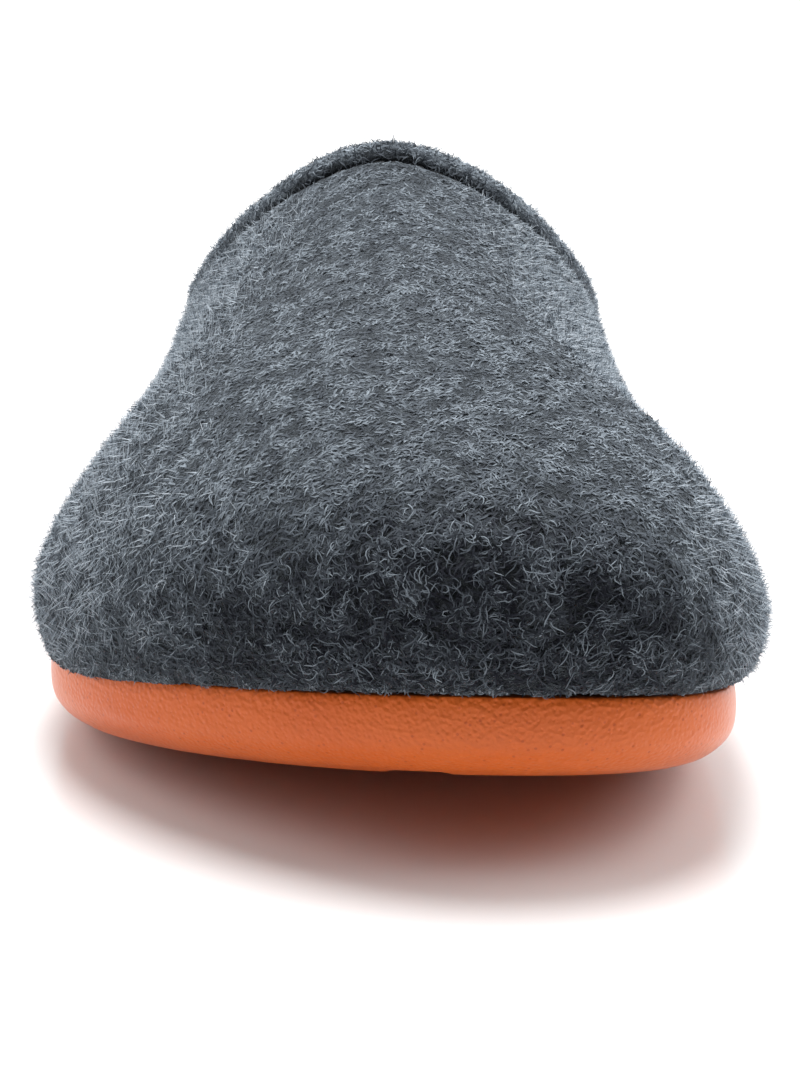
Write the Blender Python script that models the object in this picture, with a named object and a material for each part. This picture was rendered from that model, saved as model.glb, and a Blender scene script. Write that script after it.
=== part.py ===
"""Felt mule for the right foot: a hollow wool-felt upper on a moulded foam sole, with a felt insole.

Metres, +Z up. The toe points to -Y and the big-toe side is +X. While a piece is worked out, a point is
(across, station, height): across is measured from the shoe's axis, station from the sole's toe tip towards
the heel, and height from the floor. The last step puts the origin on the floor under the middle of the shoe.
"""
from typing import Callable, NamedTuple

import bmesh
import bpy
import numpy as np

Curve = Callable[[np.ndarray], np.ndarray]

# Driving sizes of the sole
SOLE_LENGTH = 0.268
BALL_BIG_TOE_SIDE = 0.047
BALL_LITTLE_TOE_SIDE = 0.0483
HEEL_BIG_TOE_SIDE = 0.033
HEEL_LITTLE_TOE_SIDE = 0.034
TOE_SPRING = 0.0145
SPRING_START = 0.080
ARCH_RISE = 0.0025
ARCH_FRONT = 0.118
ARCH_CROWN = 0.152
ARCH_BACK = 0.184
HEEL_LIFT = 0.003
HEEL_LIFT_START = 0.246
WALL_BULGE = 0.0012
WALL_ROUNDNESS = 0.8
BOTTOM_ROUNDING = 0.0105

# Driving sizes of the upper
FELT_WALL = 0.003
OVERHANG = 0.0023
SHIFT_TO_BIG_TOE_SIDE = 0.0009
TUCK_HEIGHT = 0.009
TUCK_SWEEP = 1.2
BROW_STATION = 0.042
BROW_HEIGHT = 0.062
BROW_ACROSS = 0.0063
INSTEP_STATION = 0.075
INSTEP_HEIGHT = 0.0696
THROAT_STATION = 0.116
THROAT_HEIGHT = 0.0794
THROAT_ACROSS = -0.0026
WING_END_STATION = 0.204
WING_END_ROUNDING = 0.010

# The insole, and the gap kept between pieces that meet
INSOLE_THICKNESS = 0.004
INSOLE_INSET = 0.0036
INSOLE_ROUNDING = 0.0012
INSOLE_ROUND_SHARE = 0.3
GAP = 0.0003

# How finely the skins are divided
FINE_STEPS = 160
TUCK_STEPS = 40
COLUMNS_A_SIDE = 20
COLUMN_GRADING = 1.25
ROWS_TO_TOE = 28
ROW_GRADING = 1.45
SOLE_STATIONS = 40
INSOLE_STATIONS = 32
WALL_RINGS = 9
SPOKE_STEPS = 4
SPOKE_POLE = 0.030
OUTLINE_POINTS = 720
WELD = 1e-6


class OutlineRow(NamedTuple):
    """One point of the sole's outline."""

    station: float
    across: float


class HeightRow(NamedTuple):
    """One point of a lengthwise profile."""

    station: float
    height: float


class Fullness(NamedTuple):
    """How full a row of the upper is, across and in height: 2 is an ellipse, more is squarer."""

    across: float
    height: float


class SideForm(NamedTuple):
    """What differs between the upper's sides: its fullness, its drawn-in waist and its outstanding collar."""

    vamp: Fullness
    waist: float
    collar_flare: float


class CollarPoint(NamedTuple):
    """One point of the wall's section at the collar, measured from its edge and out from the plain wall."""

    from_edge: float
    outward: float


SOLE_OUTLINE = (
    OutlineRow(station=0.000, across=0.015),
    OutlineRow(station=0.014, across=0.044),
    OutlineRow(station=0.075, across=BALL_BIG_TOE_SIDE),
    OutlineRow(station=0.150, across=0.037),
    OutlineRow(station=0.208, across=HEEL_BIG_TOE_SIDE),
    OutlineRow(station=0.247, across=0.027),
    OutlineRow(station=SOLE_LENGTH, across=0.0),
    OutlineRow(station=0.247, across=-0.027),
    OutlineRow(station=0.208, across=-HEEL_LITTLE_TOE_SIDE),
    OutlineRow(station=0.150, across=-0.0405),
    OutlineRow(station=0.086, across=-BALL_LITTLE_TOE_SIDE),
    OutlineRow(station=0.041, across=-0.0489),
    OutlineRow(station=0.011, across=-0.019),
)

SOLE_THICKNESS = (
    HeightRow(station=0.000, height=0.012),
    HeightRow(station=0.080, height=0.0127),
    HeightRow(station=0.150, height=0.018),
    HeightRow(station=0.220, height=0.025),
    HeightRow(station=SOLE_LENGTH, height=0.026),
)

SPINE = (
    HeightRow(station=BROW_STATION, height=BROW_HEIGHT),
    HeightRow(station=INSTEP_STATION, height=INSTEP_HEIGHT),
    HeightRow(station=THROAT_STATION, height=THROAT_HEIGHT),
)

# Rows of the upper run from the toe's centre line, 0, to the collar's edge, 1
TOE_FULLNESS = Fullness(across=3.1, height=2.74)
COLLAR_FULLNESS = Fullness(across=1.76, height=1.88)
BIG_TOE_SIDE = SideForm(vamp=Fullness(across=1.93, height=1.0), waist=0.0006, collar_flare=0.0012)
LITTLE_TOE_SIDE = SideForm(vamp=Fullness(across=1.88, height=1.32), waist=0.0019, collar_flare=0.0045)
FLARE_FADE = 0.3
WAIST_START_ROW = 0.45
WAIST_FADE = 0.20
VAMP_ROW = 0.5
COLLAR_BLEND_ROW = 0.55
COLLAR_SWEEP_POWER = 1.88
SPINE_ROW_POWER = 1.5
EDGE_ROW_POWER = 0.9

COLLAR_OUTSIDE = (
    CollarPoint(from_edge=0.0090, outward=0.0),
    CollarPoint(from_edge=0.0068, outward=-0.0002),
    CollarPoint(from_edge=0.0058, outward=-0.0009),
    CollarPoint(from_edge=0.0050, outward=0.0),
    CollarPoint(from_edge=0.0040, outward=0.0007),
    CollarPoint(from_edge=0.0027, outward=0.0011),
    CollarPoint(from_edge=0.0013, outward=0.0008),
    CollarPoint(from_edge=0.0003, outward=-0.0001),
    CollarPoint(from_edge=0.0000, outward=-0.0013),
)
COLLAR_INSIDE = (
    CollarPoint(from_edge=0.0090, outward=-FELT_WALL),
    CollarPoint(from_edge=0.0016, outward=-FELT_WALL),
    CollarPoint(from_edge=0.0004, outward=-0.0024),
)


class Finish(NamedTuple):
    """Base colour and roughness of a material."""

    name: str
    colour: tuple[float, float, float]
    roughness: float


CHARCOAL_FELT = Finish(name="charcoal_felt", colour=(0.075, 0.085, 0.095), roughness=0.95)
ORANGE_FOAM = Finish(name="orange_foam", colour=(0.72, 0.17, 0.04), roughness=0.55)
INSOLE_FELT = Finish(name="insole_felt", colour=(0.12, 0.13, 0.14), roughness=0.95)


# Curves and profiles

def smoothstep(share: np.ndarray) -> np.ndarray:
    """Ease from 0 to 1 with level ends."""
    share = np.clip(share, 0.0, 1.0)
    return share * share * (3.0 - 2.0 * share)


def spline_slopes(knots: np.ndarray, values: np.ndarray, closed: bool) -> np.ndarray:
    """Slopes at the knots that make a cubic curve bend evenly through them."""
    count = len(knots)
    system = np.zeros((count, count))
    right = np.zeros(values.shape)
    step = np.diff(knots)
    rise = (np.diff(values, axis=0).T / step).T
    for i in range(1, count - 1):
        system[i, i - 1:i + 2] = step[i], 2.0 * (step[i - 1] + step[i]), step[i - 1]
        right[i] = 3.0 * (step[i] * rise[i - 1] + step[i - 1] * rise[i])
    if closed:
        system[0, [0, 1, count - 2]] = 2.0 * (step[0] + step[-1]), step[-1], step[0]
        right[0] = 3.0 * (step[0] * rise[-1] + step[-1] * rise[0])
        system[-1, [0, -1]] = 1.0, -1.0
    else:
        system[0, :2] = 2.0, 1.0
        right[0] = 3.0 * rise[0]
        system[-1, -2:] = 1.0, 2.0
        right[-1] = 3.0 * rise[-1]
    return np.linalg.solve(system, right)


def spline(knots: np.ndarray, values: np.ndarray, closed: bool = False) -> Curve:
    """A cubic curve through the values, read at any place between the knots."""
    slopes = spline_slopes(knots, values, closed)

    def read(place: np.ndarray) -> np.ndarray:
        place = np.clip(np.asarray(place, float), knots[0], knots[-1])
        i = np.clip(np.searchsorted(knots, place, side="right") - 1, 0, len(knots) - 2)
        step = knots[i + 1] - knots[i]
        t = (place - knots[i]) / step
        if values.ndim > 1:
            t, step = t[..., None], step[..., None]
        level = (1.0 + 2.0 * t) * (1.0 - t) ** 2 * values[i] + t * t * (3.0 - 2.0 * t) * values[i + 1]
        lean = t * (1.0 - t) ** 2 * slopes[i] - t * t * (1.0 - t) * slopes[i + 1]
        return level + step * lean

    return read


def profile(rows: tuple[HeightRow, ...]) -> Curve:
    """The smooth lengthwise curve through a table of heights."""
    return spline(np.array([row.station for row in rows]), np.array([row.height for row in rows]))


def read_line(line: np.ndarray, lengths: np.ndarray) -> np.ndarray:
    """Points of a line at given lengths from its start."""
    steps = np.linalg.norm(np.diff(line, axis=0), axis=1)
    reached = np.concatenate([[0.0], np.cumsum(steps)])
    return np.column_stack([np.interp(lengths, reached, line[:, axis]) for axis in range(3)])


def line_length(line: np.ndarray) -> float:
    """Length of a line of points."""
    return float(np.linalg.norm(np.diff(line, axis=0), axis=1).sum())


# The sole's outline and its heights

def sole_outline() -> tuple[np.ndarray, np.ndarray]:
    """Points round the sole's outline as (station, across), and their outward directions."""
    rows = np.array(SOLE_OUTLINE + SOLE_OUTLINE[:1])
    chords = np.linalg.norm(np.diff(rows, axis=0), axis=1)
    knots = np.concatenate([[0.0], np.cumsum(np.sqrt(chords))])
    points = spline(knots, rows, closed=True)(np.linspace(0.0, knots[-1], OUTLINE_POINTS, endpoint=False))
    along = np.roll(points, -1, axis=0) - np.roll(points, 1, axis=0)
    outward = np.stack([-along[:, 1], along[:, 0]], axis=1)
    outward /= np.linalg.norm(outward, axis=1, keepdims=True)
    return points, outward


OUTLINE, OUTLINE_OUTWARD = sole_outline()
THICKNESS_AT = profile(SOLE_THICKNESS)
SPINE_AT = profile(SPINE)


class Footprint:
    """The sole's outline moved outwards by a distance, read as its two sides at a station."""

    def __init__(self, outwards: float) -> None:
        points = OUTLINE + OUTLINE_OUTWARD * outwards
        points = np.roll(points, -int(np.argmin(points[:, 0])), axis=0)
        heel = int(np.argmax(points[:, 0]))
        self.big_toe_side = points[:heel + 1]
        self.little_toe_side = np.vstack([points[heel:], points[:1]])[::-1]
        self.first = float(points[0, 0])
        self.last = float(points[heel, 0])

    def across(self, station: np.ndarray, side: int) -> np.ndarray:
        """Across at a station, on the big-toe side (1) or the little-toe side (-1)."""
        edge = self.big_toe_side if side > 0 else self.little_toe_side
        return np.interp(station, np.maximum.accumulate(edge[:, 0]), edge[:, 1])

    def middle(self, station: np.ndarray) -> np.ndarray:
        """Across half way between the two sides."""
        return (self.across(station, 1) + self.across(station, -1)) / 2.0


def toe_spring(station: np.ndarray) -> np.ndarray:
    """How far the toe is sprung off the floor."""
    return TOE_SPRING * np.maximum(1.0 - station / SPRING_START, 0.0) ** 2


def arch(station: np.ndarray) -> np.ndarray:
    """How far the waist is raised off the floor."""
    front = smoothstep((station - ARCH_FRONT) / (ARCH_CROWN - ARCH_FRONT))
    back = smoothstep((ARCH_BACK - station) / (ARCH_BACK - ARCH_CROWN))
    return ARCH_RISE * front * back


def heel_lift(station: np.ndarray) -> np.ndarray:
    """How far the heel's end is lifted off the floor."""
    share = (station - HEEL_LIFT_START) / (SOLE_LENGTH - HEEL_LIFT_START)
    return HEEL_LIFT * np.maximum(share, 0.0) ** 2


def sole_bottom(station: np.ndarray) -> np.ndarray:
    """Height of the tread, flat under the forefoot and the heel."""
    return toe_spring(station) + arch(station) + heel_lift(station)


def sole_top(station: np.ndarray) -> np.ndarray:
    """Height of the face that the upper and the insole sit on."""
    return toe_spring(station) + THICKNESS_AT(station)


# Slabs with the sole's outline

class Ring(NamedTuple):
    """One level of a slab's edge: how far out it stands from the outline, and its height at a station."""

    outwards: float
    height: Curve


def ring_points(ring: Ring, stations: int) -> np.ndarray:
    """A closed loop of points: out along the big-toe side and back along the little-toe side."""
    footprint = Footprint(ring.outwards)
    share = (1.0 - np.cos(np.linspace(0.0, np.pi, stations + 1))) / 2.0
    station = footprint.first + (footprint.last - footprint.first) * share
    out = np.column_stack([footprint.across(station, 1), station])
    back = np.column_stack([footprint.across(station, -1), station])[-2:0:-1]
    loop = np.vstack([out, back])
    return np.column_stack([loop, ring.height(loop[:, 1])])


def spokes(ring: Ring, stations: int) -> list[np.ndarray]:
    """Loops that close a slab's face, from its middle line out to the ring."""
    footprint = Footprint(ring.outwards)
    edge = ring_points(ring, stations)
    pole = np.clip(edge[:, 1], footprint.first + SPOKE_POLE, footprint.last - SPOKE_POLE)
    axis = np.column_stack([footprint.middle(pole), pole])
    loops = []
    for step in range(SPOKE_STEPS):
        flat = axis + (edge[:, :2] - axis) * step / SPOKE_STEPS
        loops.append(np.column_stack([flat, ring.height(flat[:, 1])]))
    return loops


def slab(name: str, rings: list[Ring], stations: int, finish: Finish) -> bpy.types.Object:
    """A closed slab through its rings, from the top edge down to the bottom edge."""
    loops = spokes(rings[0], stations)
    loops += [ring_points(ring, stations) for ring in rings]
    loops += spokes(rings[-1], stations)[::-1]
    return solid(name, np.array(loops), finish, wrap=True)


def make_sole() -> bpy.types.Object:
    """The moulded sole: a bulging wall that rounds under to the tread."""
    rings = []
    for turn in np.linspace(0.0, np.pi, WALL_RINGS + 1):
        share = (1.0 + np.cos(turn)) / 2.0
        depth = WALL_BULGE if share > 0.5 else BOTTOM_ROUNDING
        inset = depth * (1.0 - np.sin(turn) ** WALL_ROUNDNESS)

        def height(station: np.ndarray, share: float = share) -> np.ndarray:
            return sole_bottom(station) + share * (sole_top(station) - sole_bottom(station))

        rings.append(Ring(outwards=-inset, height=height))
    return slab("sole", rings, SOLE_STATIONS, ORANGE_FOAM)


def make_insole() -> bpy.types.Object:
    """The felt insole on the sole's top, clear of the upper's wall all round."""

    def level(above: float) -> Curve:
        return lambda station: sole_top(station) + GAP + above

    round_middle = INSOLE_ROUND_SHARE * INSOLE_ROUNDING
    rings = [
        Ring(outwards=-INSOLE_INSET - INSOLE_ROUNDING, height=level(INSOLE_THICKNESS)),
        Ring(outwards=-INSOLE_INSET - round_middle, height=level(INSOLE_THICKNESS - round_middle)),
        Ring(outwards=-INSOLE_INSET, height=level(INSOLE_THICKNESS - INSOLE_ROUNDING)),
        Ring(outwards=-INSOLE_INSET, height=level(0.0)),
    ]
    return slab("insole", rings, INSOLE_STATIONS, INSOLE_FELT)


# The upper

def row_fullness(row: np.ndarray, blend: np.ndarray, vamp_fullness: Fullness) -> Fullness:
    """Fullness of each row, from the toe over the vamp to the collar."""
    to_vamp = smoothstep(row / VAMP_ROW)

    def mix(toe: float, vamp: float, collar: float) -> np.ndarray:
        return (toe + (vamp - toe) * to_vamp) * (1.0 - blend) + collar * blend

    return Fullness(*(mix(*powers) for powers in zip(TOE_FULLNESS, vamp_fullness, COLLAR_FULLNESS)))


def upper_half(side: int) -> np.ndarray:
    """One half of the upper's outside, finely divided.

    Rows run from the toe's centre line to the collar's edge. Along a row the points go from the spine over
    the shoulder, which overhangs the sole, and tuck in to the sole's edge.
    """
    form = BIG_TOE_SIDE if side > 0 else LITTLE_TOE_SIDE
    shoulder = Footprint(OVERHANG)
    feather = Footprint(0.0)
    row = np.linspace(0.0, 1.0, FINE_STEPS + 1)[:, None]
    blend = smoothstep((row - COLLAR_BLEND_ROW) / (1.0 - COLLAR_BLEND_ROW))
    full = row_fullness(row, blend, form.vamp)

    spine_station = BROW_STATION + (THROAT_STATION - BROW_STATION) * row ** SPINE_ROW_POWER
    spine_height = SPINE_AT(spine_station)
    spine_across = BROW_ACROSS + (THROAT_ACROSS - BROW_ACROSS) * row
    slope = np.gradient(spine_height[:, 0], spine_station[:, 0])[:, None] * (1.0 - blend)

    reach = (1.0 - np.cos(row * np.pi / 2.0)) ** EDGE_ROW_POWER
    rounding = WING_END_ROUNDING * blend
    low_station = shoulder.first + (WING_END_STATION - shoulder.first) * reach - rounding
    low_across = shoulder.across(low_station, side) + SHIFT_TO_BIG_TOE_SIDE
    low_height = sole_top(low_station) + TUCK_HEIGHT

    turn = np.linspace(0.0, np.pi / 2.0, FINE_STEPS + 1)[None, :]
    sine = np.sin(turn)
    cosine = np.clip(np.cos(turn), 0.0, 1.0)
    outward = sine ** (2.0 / full.across)
    backward = (1.0 - blend) * outward + blend * (1.0 - cosine) ** COLLAR_SWEEP_POWER
    station = spine_station + (low_station - spine_station) * backward
    drawn_in = smoothstep((row - WAIST_START_ROW) / WAIST_FADE) * smoothstep((1.0 - row) / WAIST_FADE)
    flare = form.collar_flare * blend * sine ** 4 - form.waist * drawn_in * sine ** 2
    flare = side * flare * smoothstep(cosine / FLARE_FADE)
    across = spine_across + (low_across - spine_across) * outward + flare
    drop = spine_height + slope * (low_station - spine_station) - low_height
    height = spine_height + slope * (station - spine_station) - drop * (1.0 - cosine ** (2.0 / full.height))

    tuck = np.linspace(0.0, TUCK_SWEEP, TUCK_STEPS)[None, 1:]
    inward = (1.0 - np.cos(tuck)) / (1.0 - np.cos(TUCK_SWEEP))
    downward = np.sin(tuck) / np.sin(TUCK_SWEEP)
    edge_station = feather.first + (WING_END_STATION - feather.first) * reach
    edge_across = feather.across(edge_station, side)
    edge_height = sole_top(edge_station) + GAP
    tuck_station = low_station + (edge_station - low_station - rounding) * inward + rounding * downward
    tuck_across = low_across + (edge_across - low_across) * inward
    tuck_height = low_height + (edge_height - low_height) * downward

    return np.dstack([
        np.hstack([across, tuck_across]),
        np.hstack([station, tuck_station]),
        np.hstack([height, tuck_height]),
    ])


def upper_columns() -> list[np.ndarray]:
    """Lines from the collar's edge to the toe line, from the little-toe side over to the big-toe side."""
    share = 1.0 - (1.0 - np.linspace(0.0, 1.0, COLUMNS_A_SIDE + 1)) ** COLUMN_GRADING
    halves = []
    for side in (-1, 1):
        rows = [read_line(line, share * line_length(line)) for line in upper_half(side)]
        halves.append(np.array(rows))
    little, big = halves
    grid = np.hstack([little[:, ::-1], big[:, 1:]])
    return [grid[::-1, column] for column in range(grid.shape[1])]


def outward_directions(grid: np.ndarray) -> np.ndarray:
    """Outward directions of a skin whose row 0 is the toe line, where its two halves meet."""
    beyond_toe_line = grid[1:2, ::-1]
    padded = np.vstack([beyond_toe_line, grid, 2.0 * grid[-1:] - grid[-2:-1]])
    lengthwise = padded[2:] - padded[:-2]
    crosswise = np.gradient(grid, axis=1)
    outward = np.cross(crosswise, lengthwise)
    middle = grid.shape[1] // 2
    outward[0, middle] = outward[1, middle]
    outward[:, [0, -1], 2] = 0.0
    return outward / np.linalg.norm(outward, axis=2, keepdims=True)


def skin(columns: list[np.ndarray], collar: tuple[CollarPoint, ...]) -> np.ndarray:
    """One face of the wall as rows from the toe line to the collar, moved as the collar's table says."""
    from_edge = [point.from_edge for point in collar]
    share = np.linspace(0.0, 1.0, ROWS_TO_TOE, endpoint=False) ** ROW_GRADING
    rows = []
    for line in columns:
        length = line_length(line)
        plain = length - (length - from_edge[0]) * share
        rows.append(read_line(line, np.concatenate([plain, from_edge])))
    grid = np.array(rows).transpose(1, 0, 2)
    outward = [collar[0].outward] * ROWS_TO_TOE + [point.outward for point in collar]
    return grid + outward_directions(grid) * np.array(outward)[:, None, None]


def make_upper() -> bpy.types.Object:
    """The hollow felt upper: an outer and an inner face, joined round the collar and along the sole."""
    columns = upper_columns()
    outside = skin(columns, COLLAR_OUTSIDE)
    inside = skin(columns, COLLAR_INSIDE)
    return solid("upper", np.vstack([outside, inside[::-1]]), CHARCOAL_FELT, rows_in_edge=ROWS_TO_TOE)


# Meshes

def solid(
    name: str,
    grid: np.ndarray,
    finish: Finish,
    wrap: bool = False,
    rows_in_edge: int = 0,
) -> bpy.types.Object:
    """A closed solid from a grid of points.

    Args:
        name: the object's name.
        grid: rows of points.
        finish: the material's values.
        wrap: each row is a closed loop.
        rows_in_edge: rows at each end of the grid whose ends are joined to close an open edge.

    Returns:
        The new object.
    """
    rows, count = grid.shape[:2]
    index = np.arange(rows * count).reshape(rows, count)
    faces = []
    for row in range(rows - 1):
        for column in range(count if wrap else count - 1):
            after = (column + 1) % count
            above, below = index[row], index[row + 1]
            faces.append((above[column], above[after], below[after], below[column]))
    if rows_in_edge:
        for column in (0, count - 1):
            edge = index[:, column]
            for row in range(rows_in_edge):
                faces.append((edge[row], edge[row + 1], edge[-row - 2], edge[-row - 1]))
            faces.append(tuple(edge[rows_in_edge:rows - rows_in_edge]))
    mesh = bpy.data.meshes.new(name)
    mesh.from_pydata(grid.reshape(-1, 3).tolist(), [], [tuple(int(i) for i in face) for face in faces])
    shaped = bmesh.new()
    shaped.from_mesh(mesh)
    bmesh.ops.remove_doubles(shaped, verts=shaped.verts, dist=WELD)
    bmesh.ops.recalc_face_normals(shaped, faces=shaped.faces)
    shaped.to_mesh(mesh)
    shaped.free()
    mesh.shade_smooth()
    mesh.materials.append(material(finish))
    return bpy.data.objects.new(name, mesh)


def material(finish: Finish) -> bpy.types.Material:
    """A plain Principled material."""
    made = bpy.data.materials.new(finish.name)
    made.use_nodes = True
    shader = made.node_tree.nodes["Principled BSDF"]
    shader.inputs["Base Color"].default_value = (*finish.colour, 1.0)
    shader.inputs["Roughness"].default_value = finish.roughness
    return made


def put_origin_under_middle(parts: list[bpy.types.Object]) -> None:
    """Move the meshes so that the origin is on the floor under the middle of the shoe's box."""
    corners = [vertex.co for part in parts for vertex in part.data.vertices]
    points = np.array(corners)
    low = points.min(axis=0)
    high = points.max(axis=0)
    middle = (low + high) / 2.0
    for part in parts:
        for vertex in part.data.vertices:
            vertex.co.x -= middle[0]
            vertex.co.y -= middle[1]
            vertex.co.z -= low[2]


def main() -> None:
    """Build the shoe in a collection of its own."""
    for old in list(bpy.data.objects):
        bpy.data.objects.remove(old)
    shoe = bpy.data.collections.new("felt_mule")
    bpy.context.scene.collection.children.link(shoe)
    parts = [make_sole(), make_insole(), make_upper()]
    put_origin_under_middle(parts)
    for part in parts:
        shoe.objects.link(part)


main()
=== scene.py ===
"""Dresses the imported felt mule: its napped upper, its insole and its moulded sole.

A floor, soft light and a camera at the photograph's place are added. Metres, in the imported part's
frame: +Z is up, the toe points to -Y and +X is the big-toe side.
"""

import logging
import math
from dataclasses import dataclass
from enum import Enum
from functools import cached_property
from typing import ClassVar

import bmesh
import bpy
import numpy as np
from mathutils import Matrix, Vector, noise
from mathutils.kdtree import KDTree


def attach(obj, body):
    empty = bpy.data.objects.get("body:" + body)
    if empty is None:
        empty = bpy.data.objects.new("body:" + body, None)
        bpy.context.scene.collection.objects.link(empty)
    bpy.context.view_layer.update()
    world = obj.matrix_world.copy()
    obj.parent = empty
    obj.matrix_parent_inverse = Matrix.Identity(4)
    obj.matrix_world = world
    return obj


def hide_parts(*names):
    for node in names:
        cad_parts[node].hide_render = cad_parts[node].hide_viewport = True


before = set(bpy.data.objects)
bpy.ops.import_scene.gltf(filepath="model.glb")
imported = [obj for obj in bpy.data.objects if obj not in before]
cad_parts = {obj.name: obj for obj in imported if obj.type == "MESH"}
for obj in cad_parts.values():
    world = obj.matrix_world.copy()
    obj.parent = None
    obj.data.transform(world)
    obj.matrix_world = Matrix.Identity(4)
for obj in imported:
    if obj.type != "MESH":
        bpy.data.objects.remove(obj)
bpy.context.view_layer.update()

Colour = tuple[float, float, float]
Place = tuple[float, float, float]
Span = tuple[float, float]
Stops = tuple[tuple[float, Colour], ...]
Values = float | np.ndarray
Socket = bpy.types.NodeSocket

LOG = logging.getLogger("felt_mule")
BODY = "root"
WELD = 1e-5
TINY = 1e-12
PAIR_BEND = math.radians(60.0)
PAIR_SKEW = math.radians(120.0)
SHARP = math.radians(50.0)
KEPT_SHARP = 0.9
FULL_TURN = 2.0 * math.pi
LENGTHWISE = np.array([[0.0, 1.0, 0.0]])
UPWARD = np.array([[0.0, 0.0, 1.0]])
BLACK: Colour = (0.0, 0.0, 0.0)
WHITE: Colour = (1.0, 1.0, 1.0)


class Slot(Enum):
    """Material slot names."""

    UPPER = "upper_felt"
    INSOLE = "insole_felt"
    SOLE = "sole_foam"


class Pattern(Enum):
    """Where each noise pattern is read, so that no two of them are alike."""

    SWIRLS = 2.2
    UPPER_LUMPS = 3.1
    COARSE_TUFTS = 5.3
    INSOLE_LUMPS = 6.4
    LOCKS = 7.7
    FINE_TUFTS = 9.1


def smoothstep(share: np.ndarray) -> np.ndarray:
    """Ease from 0 to 1 with level ends."""
    share = np.clip(share, 0.0, 1.0)
    return share * share * (3.0 - 2.0 * share)


def blend(low: Values, high: Values, share: np.ndarray) -> np.ndarray:
    """From low at 0 to high at 1."""
    return low + (high - low) * share


def nearness(distance: np.ndarray, reach: float) -> np.ndarray:
    """From 1 at no distance, falling away over the reach."""
    return np.exp(-(distance / reach) ** 2)


def unit(vectors: np.ndarray) -> np.ndarray:
    """Vectors along the last axis, made one long."""
    return vectors / np.maximum(np.linalg.norm(vectors, axis=-1, keepdims=True), TINY)


def noise_at(points: np.ndarray, per_metre: float, pattern: Pattern) -> np.ndarray:
    """Smooth noise from about -1 to 1 at each point.

    Args:
        points: places, one to a row.
        per_metre: how many lumps there are in a metre.
        pattern: which pattern is read.

    Returns:
        One number for each place.
    """
    moved = points * per_metre + pattern.value
    return np.array([noise.noise(Vector(place)) for place in moved])


@dataclass(frozen=True)
class Lumps:
    """Noise in a material: how many lumps to the metre, their finer layers and their pull into wisps."""

    per_metre: float
    detail: float
    wisp: float = 0.0


class CellEdge(Enum):
    """How the cells of a pattern meet."""

    SOFT = "SMOOTH_F1"
    CRISP = "F1"


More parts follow.
